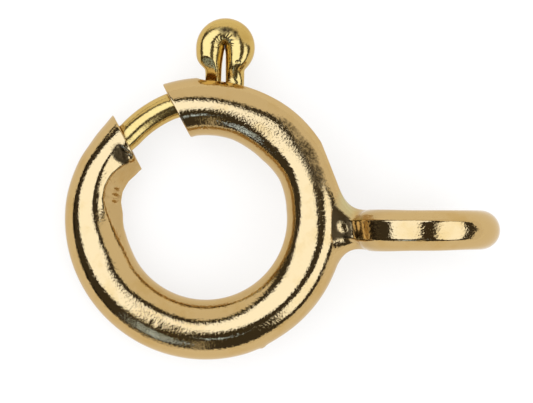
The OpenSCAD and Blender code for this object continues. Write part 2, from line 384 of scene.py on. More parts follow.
@dataclass(frozen=True)
class PolishedMetal:
    """Gold-filled brass, polished by tumbling: a mirror with fine pits, draw lines and a few soft waves.

    It gives the eye hard-edged reflections whose borders break up into grains.

    Attributes:
        name: The finish, in a maker's words.
        colour: The metal's own colour.
        warm: The colour of its duller, warmer patches.
        roughness: Of the clean polish.
        dull: Extra roughness in the duller patches.
        pit_mm: Size of the pits that the tumbling leaves.
        pit_depth_mm: Their depth.
        line_mm: Length and width of the lines that drawing the metal leaves along it.
        line_depth_mm: Their depth.
        wave_mm: Length of the soft waves that the hand polishing leaves.
        wave_depth_mm: Their depth.
        patch_mm: Size of the duller patches.
        pit_range: The noise that is no pit, and the noise that is a pit's full depth.
        dull_range: The noise where a duller patch begins, and where it is full.
        dark_paint_range: The sum of grain and wear where the painted dark reflection begins, and where it is
            full.
        grain_share: How much the grain counts in that sum.
        solder_dull: Extra roughness of pure solder.
        worn_dull: Extra roughness of fully worn metal.
        worn_pits: Extra depth of the pits there, as a share.
        solder_colour: The colour of pure solder.
        painted_dark_reflection_colour: The colour painted on where the metal should mirror a dark part of
            the room: painted dark reflection.
        edge_colour: The tint of its reflection near the outline.
    """

    name: str
    colour: str = "C2A46F"
    warm: str = "BC9A5E"
    roughness: float = 0.045
    dull: float = 0.04
    pit_mm: float = 0.048
    pit_depth_mm: float = 0.0014
    line_mm: tuple[float, float] = (0.5, 0.05)
    line_depth_mm: float = 0.0005
    wave_mm: float = 0.4
    wave_depth_mm: float = 0.0018
    patch_mm: float = 0.9
    pit_range: tuple[float, float] = (0.35, 0.85)
    dull_range: tuple[float, float] = (0.5, 0.72)
    dark_paint_range: tuple[float, float] = (0.95, 1.7)
    grain_share: float = 1.1
    solder_dull: float = 0.12
    worn_dull: float = 0.2
    worn_pits: float = 0.8
    solder_colour: str = "BDB080"
    painted_dark_reflection_colour: str = "43351F"
    edge_colour: str = "F7F1E6"

    def material(self) -> bpy.types.Material:
        """The node material, with every pattern's scale worked out from its size in millimetres.

        Returns:
            The material.
        """
        made, tree = empty_material(self.name)
        solder, worn = (add_node(tree, "ShaderNodeAttribute", attribute_name=mark).outputs["Fac"]
                        for mark in ("solder", "worn"))
        place = add_node(tree, "ShaderNodeTexCoord").outputs["Object"]
        lengths = add_node(tree, "ShaderNodeUVMap", uv_map="surface_mm")
        stretched = add_node(tree, "ShaderNodeMapping", {
            "Vector": lengths.outputs["UV"], "Scale": (1 / self.line_mm[0], 1 / self.line_mm[1], 1)})
        grains, lines, waves, patches = (
            add_node(tree, "ShaderNodeTexNoise", {
                "Vector": vector, "Scale": scale, "Detail": detail, "Roughness": roughness}).outputs["Fac"]
            for vector, scale, detail, roughness in (
                (place, 1 / (self.pit_mm * MM), 2.0, 0.55), (stretched.outputs[0], 1.0, 2.0, 0.6),
                (place, 1 / (self.wave_mm * MM), 2.0, 0.5), (place, 1 / (self.patch_mm * MM), 4.0, 0.65)))
        # Where grain and worn add up, the colour is painted dark: a painted dark reflection. Worn also adds
        # roughness and pit depth.
        broken = add_node(tree, "ShaderNodeMath", {0: grains, 1: self.grain_share, 2: worn},
                          operation="MULTIPLY_ADD")
        pits, wear, painted_darkness = (
            add_node(tree, "ShaderNodeMapRange", {"Value": value, "From Min": low, "From Max": high},
                     interpolation_type=step).outputs[0]
            for value, (low, high), step in ((grains, self.pit_range, "SMOOTHSTEP"),
                                             (patches, self.dull_range, "LINEAR"),
                                             (broken.outputs[0], self.dark_paint_range, "LINEAR")))
        colour = linear(self.colour)
        for share, other in ((wear, self.warm), (solder, self.solder_colour), (painted_darkness, self.painted_dark_reflection_colour)):
            colour = add_node(tree, "ShaderNodeMix", {0: share, 6: colour, 7: linear(other)},
                              data_type="RGBA").outputs[2]
        roughness = self.roughness
        for share, extra in ((wear, self.dull), (solder, self.solder_dull), (worn, self.worn_dull)):
            roughness = add_node(tree, "ShaderNodeMath", {0: share, 1: extra, 2: roughness},
                                 operation="MULTIPLY_ADD").outputs[0]
        pit_depth = self.pit_depth_mm * MM
        depth = add_node(tree, "ShaderNodeMath", {0: worn, 1: self.worn_pits * pit_depth, 2: pit_depth},
                         operation="MULTIPLY_ADD").outputs[0]
        heights = (waves, self.wave_depth_mm * MM), (lines, self.line_depth_mm * MM), (pits, depth)
        normal = {}
        for height, distance in heights:
            bump = add_node(tree, "ShaderNodeBump", {
                "Height": height, "Strength": 1.0, "Distance": distance, **normal})
            normal = {"Normal": bump.outputs[0]}
        metal = add_node(tree, "ShaderNodeBsdfPrincipled", {
            "Base Color": colour, "Metallic": 1.0, "Roughness": roughness,
            "Specular Tint": linear(self.edge_colour), **normal})
        add_node(tree, "ShaderNodeOutputMaterial", {"Surface": metal.outputs[0]})
        return made


def dress(obj: bpy.types.Object, material: bpy.types.Material, slot: Slot, body: Body, *nodes: str) -> None:
    """Gives a finished piece its material and body, and hides the CAD nodes that it stands for.

    Args:
        obj: The piece.
        material: Its finish.
        slot: The record's slot for it. Not used.
        body: The body that it rides on.
        nodes: The CAD nodes that it replaces.
    """
    obj.data.materials.append(material)
    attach(obj, body.value)
    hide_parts(*nodes)
    log.info("%s: %d faces, rides on %s", obj.name, len(obj.data.polygons), body.value)


@dataclass(frozen=True)
class Mark:
    """A small soft place on the tube: a dent, a swelling, a burr, or a spot of painted dark reflection on
    roughened metal.

    Attributes:
        at_deg: Degrees round the ring.
        turn_deg: Degrees round the section.
        amount: A dent's depth in millimetres, below 0 where the metal stands up, or how dark a spot is
            painted.
        long: Reach along the ring in millimetres.
        wide: Reach round the section in millimetres.
        rim: Share of a dent's depth that stands up round it.
    """

    at_deg: float
    turn_deg: float
    amount: float
    long: float
    wide: float
    rim: float = 0.0


@dataclass
class TubeRing:
    """The hollow tube bent into a ring, with its mouth, its slot and the crimp that stops the spring.

    Sizes are in millimetres and angles in degrees. A name that ends in from_deg holds angles round the
    ring, and the row of the same first word holds what is true at each of them.

    Attributes:
        path_r: Radius of the tube's middle line.
        tube_r: Radius of the tube.
        mouth_deg: Where the mouth is. It is mouth_width wide, and its middle lies mouth_offset beside the
            radius there.
        slot_from_deg: Where the trigger's slot begins. It ends at slot_to_deg and is slot_width wide.
        slot_step: Distance between the rows along the slot.
        slot_end_rows: Number of rows round each of its ends.
        lip_r: Rounding of the mouth's and the slot's edges.
        flat_deg: Direction of the flat that wear has cut beside the solder, to flat_depth. It ends within
            flat_reach_deg on each side.
        crimp: Depth of the two planes that the crimping tool pressed, which lean by crimp_lean_deg.
        brow: Depth of the shallower planes above them, which lean by brow_lean_deg.
        no_cut: The depth that stands for no plane, and the depth from which a plane cuts.
        sag: How far the wall sags beside the crimp, round each of sag_turn_deg over sag_spread_deg.
        waist: Depth of the plane that faces the ring's middle, and below 0 a bulge.
        crown: How far the tube's crown leans out, as bending left it.
        slim_inside: How much thinner the tube is towards the ring's middle.
        slim_outside: The same on its outside: the amount, and where it rises, is full, falls and ends.
        dents: Dents, swellings and a burr.
        rim_spread: How many times further a dent's rim reaches, squared.
        painted_darkness: Spots where the metal is roughened and more deeply pitted, and its colour painted
            dark as a dark reflection.
        turned: How far beyond the mouth's edge the rows begin to leave its plane, and how far from its
            middle they have left it.
        fine_rows: Ends of the stretches of close rows round the crimp, with their numbers of rows.
        plain_rows: Number of rows from there to the slot.
        last_rows: Number of rows from the slot to the mouth.
        columns: Number of faces round the section.
        uneven: How much closer the columns are towards the ring's middle.
        corner_steps: Faces across each rounded edge.
    """

    path_r: float
    tube_r: float
    wall: float = 0.2
    mouth_deg: float = 118.0
    mouth_width: float = 1.23
    mouth_offset: float = 0.09
    slot_from_deg: float = 35.15
    slot_to_deg: float = 88.38
    slot_width: float = 0.51
    slot_step: float = 0.045
    slot_end_rows: int = 10
    lip_r: float = 0.03
    flat_deg: float = 22.0
    flat_depth: float = 0.12
    flat_reach_deg: float = 40.0
    crimp_lean_deg: float = 144.0
    crimp_from_deg: tuple = (136, 146, 154.3, 162, 168.8, 176.7, 187, 198)
    crimp: tuple = (0.03, 0.115, 0.2, 0.228, 0.212, 0.15, 0.062, 0.0)
    brow_lean_deg: float = 107.0
    brow_from_deg: tuple = (139, 146, 154, 166, 176, 184, 192)
    brow: tuple = (0.05, 0.07, 0.08, 0.075, 0.055, 0.02, -0.03)
    no_cut: tuple = (-0.05, -0.04)
    sag_from_deg: tuple = (128, 140, 150, 162, 172, 182, 192, 204)
    sag: tuple = (0.0, 0.01, 0.08, 0.125, 0.125, 0.09, 0.04, 0.0)
    sag_turn_deg: tuple = (130, 230)
    sag_spread_deg: float = 40.0
    waist_from_deg: tuple = (132, 142, 150, 154, 161, 168, 176, 182, 190, 200, 216)
    waist: tuple = (-0.02, -0.02, 0.05, 0.085, 0.1, 0.075, 0.025, 0.012, -0.01, -0.015, 0.0)
    crown_from_deg: tuple = (0, 10, 20, 32, 48, 70, 88, 104, 150, 178, 190,
                             200, 212, 225, 240, 252, 265, 280, 300, 345, 360)
    crown: tuple = (4.5, 3.5, 2.0, 0.0, -3.0, -3.0, -1.5, 0.0, 0.0, -3.0, -5.0,
                    -4.0, -1.0, -0.5, -2.0, 0.0, 3.0, 5.0, 5.0, 5.0, 4.5)
    slim_from_deg: tuple = (6, 28, 36, 46, 60, 72, 96, 112)
    slim_inside: tuple = (0, 0.045, 0.03, 0.005, 0.02, 0.05, 0.05, 0)
    slim_outside: tuple = ((0.035, 116, 128, 152, 176), (0.03, 130, 138, 146, 156),
                           (0.03, 285, 303, 336, 352))
    dents: tuple = (
        # Polishing dents on the crown opposite the trigger, and a burr on the outline.
        Mark(243.5, 79, 0.01, 0.06, 0.07, 0.5), Mark(248.5, 82, 0.004, 0.12, 0.04, 0.5),
        Mark(256.6, 85, 0.006, 0.2, 0.05, 0.5), Mark(294, 0, -0.03, 0.05, 0.2),
        # Nicks inside the mouth's edge.
        Mark(140.4, 88, 0.02, 0.05, 0.06, 0.3), Mark(141.3, 100, 0.035, 0.06, 0.07, 0.2),
        Mark(143.0, 92, 0.02, 0.05, 0.05, 0.3), Mark(140.6, 112, 0.03, 0.06, 0.08, 0.2),
        Mark(143.4, 106, 0.02, 0.04, 0.06, 0.3), Mark(141.6, 124, 0.02, 0.08, 0.06, 0.2),
        # Three pleats that the crimp left in the wall.
        Mark(161.4, 139, 0.024, 0.05, 0.2), Mark(165.2, 138, 0.028, 0.055, 0.24),
        Mark(169.6, 140, 0.024, 0.055, 0.2),
        # The hollow below the solder, and a swelling beside the slot.
        Mark(355, 66, 0.06, 0.7, 0.6), Mark(50, 50, -0.05, 0.55, 0.28))
    rim_spread: float = 2.5
    painted_darkness: tuple = (
        # Beside the solder: painted dark reflection, on roughened metal.
        Mark(22, 73, 1.0, 0.34, 0.18), Mark(33, 68, 1.0, 0.42, 0.17), Mark(46, 64, 0.8, 0.45, 0.1),
        Mark(8, 84, 0.4, 0.5, 0.06), Mark(70, 80, 0.3, 0.8, 0.1),
        # At both ends of the mouth, and on the crown opposite the trigger: painted dark reflection there
        # too.
        Mark(142.6, 104, 1.6, 0.19, 0.29), Mark(98, 120, 0.3, 0.4, 0.2), Mark(248, 60, 0.25, 0.9, 0.25))
    turned: tuple = (0.05, 1.1)
    fine_rows: tuple = ((157, 36), (175, 46), (205, 30))
    plain_rows: int = 170
    last_rows: int = 24
    columns: int = 112
    uneven: float = 0.3
    corner_steps: int = 4

    @property
    def ring_r(self) -> float:
        """The ring's outside radius."""
        return self.path_r + self.tube_r

    def away(self, mark: Mark, around: np.ndarray, section: np.ndarray) -> np.ndarray:
        """The squared distance of points of the tube from a mark, counted in the mark's own reaches.

        Args:
            mark: The mark.
            around: Degrees round the ring.
            section: Radians round the section.

        Returns:
            The sum of the squares of the two distances, 1 at the mark's own reach.
        """
        along = np.radians(np.mod(around - mark.at_deg + 180, 360) - 180) * self.path_r
        over = np.mod(section - math.radians(mark.turn_deg) + np.pi, 2 * np.pi) - np.pi
        return (along / mark.long) ** 2 + (over * self.tube_r / mark.wide) ** 2

    def outer_radius(self, around: np.ndarray, section: np.ndarray) -> np.ndarray:
        """The tube's outside radius at an angle round the ring and an angle round its section.

        It starts as a round tube. The crimp cuts it back to planes: two slanted ones, a shallower brow
        above each, and one that faces the ring's middle. A plane's radius is the tube's less the depth,
        divided by the cosine of the angle from the plane's own direction. The wall sags beside the crimp.
        The worn flat is one more plane. Squeezes, dents, swellings and a burr are small amounts taken off
        or put on, weighed by their distance. The crown's lean is its tangent times the radius, times the
        section angle's cosine and its squared sine.

        Args:
            around: Degrees round the ring, from the end ring.
            section: Radians round the section, from outwards, upwards first.

        Returns:
            Radii in millimetres.
        """
        around = np.mod(around, 360)
        outward = np.cos(section)
        radius = np.full(np.broadcast(around, section).shape, self.tube_r)
        lean = np.radians(np.interp(around, self.crown_from_deg, self.crown))
        radius = radius + self.tube_r * np.tan(-lean) * -outward * np.sin(section) ** 2
        slim_inside = np.interp(around, self.slim_from_deg, self.slim_inside)
        slim_outside = sum(amount * plateau(around, *where) for amount, *where in self.slim_outside)
        radius = radius - slim_inside * np.clip(-outward, 0, 1) ** 2
        radius = radius - slim_outside * np.clip(outward, 0, 1) ** 2
        sag = np.interp(around, self.sag_from_deg, self.sag, left=0, right=0)
        for middle in self.sag_turn_deg:
            radius = radius - sag * np.exp(-((np.degrees(section) - middle) / self.sag_spread_deg) ** 2)
        none, least = self.no_cut
        for lean_deg, from_deg, depths in ((self.brow_lean_deg, self.brow_from_deg, self.brow),
                                           (self.crimp_lean_deg, self.crimp_from_deg, self.crimp)):
            depth = np.interp(around, from_deg, depths, left=none, right=none)
            for side in (-1, 1):
                cosine = np.cos(section - side * math.radians(lean_deg))
                plane = (self.tube_r - depth) / np.maximum(cosine, LEAST_COSINE)
                plane = np.where(cosine > LEAST_COSINE, plane, NO_PLANE)
                radius = np.where(depth > least, soft_min(radius, plane, BLUNT), radius)
        waist = np.interp(around, self.waist_from_deg, self.waist, left=0, right=0)
        cut = (self.tube_r - np.maximum(waist, 0)) / np.maximum(-outward, LEAST_COSINE)
        radius = np.where(waist > 0, soft_min(radius, cut, BLUNT), radius)
        radius = radius - np.minimum(waist, 0) * np.clip(-outward, 0, 1) ** 3
        beside = np.mod(around - self.flat_deg + 180, 360) - 180
        reach = (self.ring_r - self.flat_depth) / np.maximum(np.cos(np.radians(beside)), LEAST_COSINE)
        flat = (reach - self.path_r) / np.maximum(outward, LEAST_COSINE)
        radius = np.where(np.abs(beside) < self.flat_reach_deg, soft_min(radius, flat, BLUNT), radius)
        for dent in self.dents:
            away = self.away(dent, around, section)
            radius = radius - dent.amount * (np.exp(-away) - dent.rim * np.exp(-away / self.rim_spread))
        return radius

    def point(self, around: np.ndarray, section: np.ndarray, depth: np.ndarray | float) -> np.ndarray:
        """A point of the wall at a depth below its outside.

        The angle round the ring is turned near the mouth, so that rows there lie in planes parallel to the
        mouth's middle plane: the angle's sine is the row's distance from that plane divided by how far out
        the point lies. The turn fades out away from the mouth.

        Args:
            around: Degrees round the ring at the tube's middle line.
            section: Radians round the section.
            depth: Millimetres below the tube's outside.

        Returns:
            Points in the clasp's drawing.
        """
        away = np.mod(around - self.mouth_deg + 180, 360) - 180
        distance = self.path_r * np.sin(np.radians(away))
        near = (np.abs(away) < 90) * (1 - ease(
            np.abs(distance - self.mouth_offset), self.mouth_width / 2 + self.turned[0], self.turned[1]))
        angle = around + np.zeros_like(section)
        for _ in range(3):
            radius = self.outer_radius(angle, section) - depth
            out = self.path_r + radius * np.cos(section)
            angle = around + near * (np.degrees(np.arcsin(np.clip(distance / out, -1, 1))) - away)
        return np.stack([out * np.cos(np.radians(angle)), out * np.sin(np.radians(angle)),
                         radius * np.sin(section)], -1)

    def shares(self) -> np.ndarray:
        """How far round the section each column stands: closer together on the side of the ring's middle."""
        share = np.linspace(0, 1, self.columns + 1)
        return share + self.uneven * np.sin(2 * np.pi * share) / (2 * np.pi)

    def near_mouth(self, side: int, distance: np.ndarray) -> np.ndarray:
        """Degrees round the ring where the middle line is that far to one side of the cut's middle."""
        return self.mouth_deg + np.degrees(np.arcsin((self.mouth_offset + side * distance) / self.path_r))

    def slot_rows(self) -> tuple[np.ndarray, np.ndarray, np.ndarray]:
        """The rows that run through the slot, from one round end to the other.

        Returns:
            The angle of each row's own middle, its offset and half width there as the slot's outline, and
            the outline's outward direction, whose first value runs along the ring and second across it.
        """
        half, ends = self.slot_width / 2, self.slot_end_rows
        bend = np.radians(np.linspace(0, 90, ends + 1))
        first = np.stack([-np.cos(bend), np.sin(bend)], -1)
        middle = np.radians(self.slot_to_deg - self.slot_from_deg) * self.ring_r
        count = int(middle / self.slot_step)
        angle = np.concatenate([np.full(ends, self.slot_from_deg),
                                np.linspace(self.slot_from_deg, self.slot_to_deg, count),
                                np.full(ends, self.slot_to_deg)])
        outward = np.concatenate([first[:-1], np.tile([[0.0, 1.0]], (count, 1)), (first * [-1, 1])[-2::-1]])
        return angle, outward * half, outward

    def slot_row(self, spare: float, depth: float) -> tuple[np.ndarray, np.ndarray]:
        """Where each of the slot's rows meets a layer of the wall.

        Args:
            spare: How far the layer's opening stands outside the slot's own outline.
            depth: The layer's depth below the tube's outside.

        Returns:
            The rows' degrees round the ring, and the section angle of the slot's edge in radians.
        """
        middle, outline, outward = self.slot_rows()
        edge = outline + spare * outward
        layer = self.tube_r - depth
        section = np.arcsin(np.clip(edge[:, 1] / layer, 0, 0.99))
        out = self.path_r + layer * np.cos(section)
        return middle + np.degrees(np.arcsin(edge[:, 0] / out)), section

    def layer(self, spare: float, mouth_spare: float, depth: float) -> tuple[np.ndarray, np.ndarray]:
        """One layer of the wall, from one side of the mouth round to the other.

        Args:
            spare: How far its slot stands outside the slot's own outline.
            mouth_spare: How far its ends stand back from the mouth.
            depth: Its depth below the tube's outside.

        Returns:
            The grid's degrees round the ring, and its section angles.
        """
        slot_angle, slot_section = self.slot_row(spare, depth)
        slot_angle = slot_angle + 360
        start = self.near_mouth(1, self.mouth_width / 2 + mouth_spare)
        end = self.near_mouth(-1, self.mouth_width / 2 + mouth_spare) + 360
        first = [np.array([start])]
        for stop, rows in (*self.fine_rows, (slot_angle[0], self.plain_rows)):
            first.append(np.linspace(first[-1][-1], stop, rows)[1:])
        first = np.concatenate(first)[:-1]
        last = np.linspace(slot_angle[-1], end, self.last_rows)[1:]
        around = np.concatenate([first, slot_angle, last])
        edge = np.concatenate([np.zeros(len(first)), slot_section, np.zeros(len(last))])
        section = edge[:, None] + self.shares()[None] * (2 * np.pi - 2 * edge[:, None])
        return np.broadcast_to(around[:, None], section.shape), section

    def worn(self, around: np.ndarray, section: np.ndarray) -> np.ndarray:
        """How rough the tube is and how dark its colour is painted, as a dark reflection: a soft spot at
        each place, such as beside the solder joint.

        A spot's weight is the exponential of the negative fourth power of its distance, so that it has a
        level middle and a clear border.

        Args:
            around: Degrees round the ring.
            section: Radians round the section.

        Returns:
            The share of roughened metal with painted dark reflection, from 0 up.
        """
        total = np.zeros(np.broadcast(around, section).shape)
        for spot in self.painted_darkness:
            total = np.maximum(total, spot.amount * np.exp(-self.away(spot, around, section) ** 2))
        return total

    def sheet(self, points: np.ndarray, around: np.ndarray, section: np.ndarray) -> Sheet:
        """A sheet with the lengths along the ring and round its section."""
        grain = np.stack(np.broadcast_arrays(np.radians(around) * self.path_r, section * self.tube_r), -1)
        return Sheet(points, grain, None, self.worn(around, section))

    def sheets(self) -> list[Sheet]:
        """The ring's surface in six parts.

        Returns:
            The outside, the bore, the mouth's two lips and the slot's two lips.
        """
        corner = np.radians(np.linspace(0, 90, self.corner_steps + 1))
        spare = self.lip_r * (1 - np.sin(corner))
        depth = self.lip_r * (1 - np.cos(corner))
        outside = self.layer(self.lip_r, self.lip_r, 0.0)
        bore = self.layer(0.0, 0.0, self.wall)
        made = [self.sheet(self.point(*outside, 0.0), *outside),
                self.sheet(self.point(*bore, self.wall), *bore)]
        share = self.shares()
        for side, end in ((1, 0.0), (-1, 360.0)):
            distance = np.append(self.mouth_width / 2 + spare, self.mouth_width / 2)
            around = np.broadcast_to((self.near_mouth(side, distance) + end)[:, None],
                                     (len(distance), len(share)))
            section = np.broadcast_to(2 * np.pi * share, around.shape)
            depths = np.append(depth, self.wall)[:, None]
            made.append(self.sheet(self.point(around, section, depths), around, section))
        stations = [self.slot_row(s, d) for s, d in zip(spare, depth)] + [self.slot_row(0.0, self.wall)]
        around = np.stack([a + 360 for a, _ in stations], 1)
        depths = np.append(depth, self.wall)[None]
        for side in (1, -1):
            section = np.stack([s for _, s in stations], 1)
            section = section if side > 0 else 2 * np.pi - section
            made.append(self.sheet(self.point(around, section, depths), around, section))
        return made

    def build(self, seat: Seat, material: bpy.types.Material) -> None:
        """Makes and dresses the ring."""
        ring = Shell("tube_ring", self.sheets()).build(seat)
        dress(ring, material, Slot.TUBE, Body.RING, "clasp_body")


@dataclass
class EndRing:
    """The closed wire ring that takes the chain, with the solder that joins it to the tube.

    Attributes:
        tube: The tube that it is soldered to.
        centre: Its middle, in the plane of the clasp's ring.
        ring_r: Its outside radius.
        wire_r: Its wire's radius.
        tube_loop_deg: Middle and half length of the solder's edge on the tube, round the clasp's ring.
        tube_loop_section_deg: The edge's half width there, round the tube's section.
        wire_loop_deg: The solder's reach on the wire, round the end ring.
        wire_loop_section_deg: The same round the wire's section.
        sink: How deep the solder's edges lie in the metal.
        leave: How straight the solder leaves the tube, and arrive the same at the wire.
        loop_step: Share of a loop's size over which those two directions are taken.
        apart: Distance between the two points that close the solder inside the metal.
        tread_share: Half width of the worn tread, as a share of the wire's radius.
        tread_lean_deg: How far the tread leans.
        tread_depth: How deep it is worn.
        shoulder_deg: Slant of the faces beside the tread. The lower one is worn deeper by low_shoulder.
        cheek_blunt: Rounding between those faces and the wire's sides.
        worn_fade: Cosines of the angle round the ring between which the wear fades out.
        corner: How much the ring's circle swells between the angles of corner_deg.
        taper: How much thinner the lower side gets between the cosines of taper_fade.
        swell: How much thicker the wire is near the solder, between the cosines of swell_fade.
        pale: Where pure solder shows, as shares of the way from tube to wire. Round the loops its weight is
            a gain times the cosine from a direction, less an amount, as pale_lobe gives them.
        dark_paint_way: Where the solder's colour is painted dark as a dark reflection, as shares of that
            way, and round the loops between dark_paint_deg.
        clean: The spot in it that is left unpainted, so that the metal's own highlight shows: its middle and
            reach on that way, and in degrees round the loops.
        painted_darkness: How dark the rest is painted; it also roughens and pits the solder.
        columns: Number of faces round the solder.
        rows: Number of rows from tube to wire.
        hoop_rows: Number of faces round the ring, with hoop_columns round its wire.
    """

    tube: TubeRing
    centre: tuple[float, float]
    ring_r: float
    wire_r: float
    tube_loop_deg: tuple = (-1.5, 19.5)
    tube_loop_section_deg: float = 66.0
    wire_loop_deg: float = 22.2
    wire_loop_section_deg: float = 82.0
    sink: float = 0.003
    leave: float = 1.45
    arrive: float = 1.35
    loop_step: float = 0.03
    apart: float = 0.02
    tread_share: float = 0.5
    tread_lean_deg: float = -8.0
    tread_depth: float = 0.031
    shoulder_deg: float = 47.0
    low_shoulder: float = 0.045
    cheek_blunt: float = 0.14
    worn_fade: tuple = (0.35, 0.95)
    corner: float = 0.03
    corner_deg: tuple = (129, 153, 157, 180)
    taper: float = 0.02
    taper_fade: tuple = (0.1, 0.8)
    swell: float = 0.015
    swell_fade: tuple = (0.2, 0.8)
    pale: tuple = (0.0, 0.35, 0.55, 0.95)
    pale_lobe: tuple = (1.6, 0.4, 0.6)
    dark_paint_way: tuple = (0.0, 0.08, 0.6, 0.85)
    dark_paint_deg: tuple = (58, 70, 112, 126)
    clean: tuple = ((0.4, 0.18), (95, 13))
    painted_darkness: float = 1.5
    columns: int = 160
    rows: int = 48
    hoop_rows: int = 239
    hoop_columns: int = 128

    @property
    def path_r(self) -> float:
        """The radius of the wire's middle line."""
        return self.ring_r - self.wire_r

    def wire_radius(self, around: np.ndarray, section: np.ndarray) -> np.ndarray:
        """The wire's radius at an angle round its section, from the ring's outside.

        Lying and tumbling wore the ring's top and bottom: the wire has a tread there, a little askew, with a
        slanted shoulder on each side of it. Each is a plane, whose radius is its distance divided by the
        cosine of the angle from its own direction, and all fade into the round wire towards the ring's far
        end. The lower side gets a little thinner towards that end, and both swell at the solder.

        Args:
            around: Radians round the ring.
            section: Radians round the section.

        Returns:
            Radii in millimetres.
        """
        lean = np.abs(np.mod(section + np.pi, 2 * np.pi) - np.pi)
        askew = np.cos(section - math.radians(self.tread_lean_deg))
        slant = math.radians(self.shoulder_deg)
        shoulder = self.wire_r * (self.tread_share * math.sin(slant) + math.cos(slant))
        shoulder = shoulder - self.low_shoulder * (np.sin(section) < 0)
        tread = (self.wire_r - self.tread_depth) / np.maximum(askew, LEAST_COSINE)
        cheek = self.wire_r / np.maximum(np.abs(np.sin(section)), LEAST_COSINE)
        shoulder = shoulder / np.maximum(np.cos(lean - slant), LEAST_COSINE)
        worn = soft_min(soft_min(tread, shoulder, BLUNT), cheek, self.cheek_blunt)
        worn = np.where(lean < np.pi / 2, worn, self.wire_r)
        far = np.cos(around)
        radius = self.wire_r + (worn - self.wire_r) * (1 - ease(far, *self.worn_fade))
        return (radius - self.taper * ease(far, *self.taper_fade) * np.clip(-np.sin(section), 0, 1) ** 2
                + self.swell * ease(-far, *self.swell_fade) * np.sin(section) ** 2)

    def wire_point(self, around: np.ndarray, section: np.ndarray, sink: float) -> np.ndarray:
        """A point of the ring, a little below its surface: round its middle, and round its wire.

        The ring's circle swells a little between two of its angles on each side of the solder.

        Args:
            around: Radians round the ring.
            section: Radians round the wire's section.
            sink: Millimetres below the surface.

        Returns:
            Points in the clasp's drawing.
        """
        radius = self.wire_radius(around, section) - sink
        side = np.degrees(np.abs(np.mod(around + np.pi, 2 * np.pi) - np.pi))
        path_r = self.path_r + self.corner * plateau(side, *self.corner_deg)
        out = path_r + radius * np.cos(section)
        return np.stack([self.centre[0] + out * np.cos(around), self.centre[1] + radius * np.sin(section),
                         out * np.sin(around)], -1)

    def hoop(self) -> Sheet:
        """The wire ring: its section carried round a circle that stands upright on the tube's plane.

        Returns:
            The ring's sheet.
        """
        around, section = np.meshgrid(np.linspace(0, 2 * np.pi, self.hoop_rows + 1),
                                      np.linspace(0, 2 * np.pi, self.hoop_columns + 1), indexing="ij")
        points = self.wire_point(around, section, 0.0)
        return Sheet(points, np.stack([around * self.path_r, section * self.wire_r], -1))

    def joint(self) -> list[Sheet]:
        """The solder: a curve from a loop on the tube to a loop on the wire, for each way round the joint.

        Each curve is the cubic that leaves the tube along its surface, towards the loop's middle, and
        reaches the wire along its surface, away from that loop's middle. The weights of its two ends and
        two directions are the Hermite ones. The ends are sunk a little and closed in the metal.

        Returns:
            The solder's own surface, and the two caps inside the metal.
        """
        turn = np.linspace(0, 2 * np.pi, self.columns + 1)
        middle, half = self.tube_loop_deg

        def on_tube(size: float) -> np.ndarray:
            """A loop of the given share of its full size on the tube."""
            return self.tube.point(middle + half * size * np.cos(turn),
                                   math.radians(self.tube_loop_section_deg) * size * np.sin(turn), self.sink)

        def on_wire(size: float) -> np.ndarray:
            """A loop of the given share of its full size on the wire."""
            return self.wire_point(np.pi - math.radians(self.wire_loop_deg) * size * np.sin(turn),
                                   math.radians(self.wire_loop_section_deg) * size * np.cos(turn), self.sink)

        start, end = on_tube(1.0), on_wire(1.0)
        span = np.linalg.norm(end - start, axis=1, keepdims=True)
        leave = on_tube(1 - self.loop_step) - start
        arrive = on_wire(1 + self.loop_step) - end
        leave *= self.leave * span / np.linalg.norm(leave, axis=1, keepdims=True)
        arrive *= self.arrive * span / np.linalg.norm(arrive, axis=1, keepdims=True)
        t = np.linspace(0, 1, self.rows)[:, None, None]
        points = ((2 * t ** 3 - 3 * t ** 2 + 1) * start + (t ** 3 - 2 * t ** 2 + t) * leave
                  + (3 * t ** 2 - 2 * t ** 3) * end + (t ** 3 - t ** 2) * arrive)
        inside = (0.5 * (start.mean(0) + end.mean(0)))[None]
        first = np.concatenate([np.broadcast_to(inside, start.shape)[None], start[None]])
        last = np.concatenate([end[None], np.broadcast_to(inside + [self.apart, 0, 0], end.shape)[None]])
        way, around = t[..., 0], np.degrees(turn)[None]
        gain, lobe, less = self.pale_lobe
        share = plateau(way, *self.pale) * np.clip(gain * np.cos(turn - lobe) - less, 0, 1)[None]
        # Painted dark reflection over part of the joint, left off at the clean spot.
        painted_darkness = self.painted_darkness * plateau(way, *self.dark_paint_way) * plateau(around, *self.dark_paint_deg)
        (at, reach), (turned, spread) = self.clean
        clean = np.exp(-(((way - at) / reach) ** 2 + ((around - turned) / spread) ** 2) ** 2)
        return [Sheet(points, surface_lengths(points), share, painted_darkness * (1 - clean)),
                Sheet(first, surface_lengths(first)), Sheet(last, surface_lengths(last))]

    def build(self, seat: Seat, material: bpy.types.Material) -> None:
        """Makes and dresses the hoop and its solder."""
        for name, sheets in (("end_ring", [self.hoop()]), ("solder_joint", self.joint())):
            dress(Shell(name, sheets).build(seat), material, Slot.TUBE, Body.RING, "clasp_body")


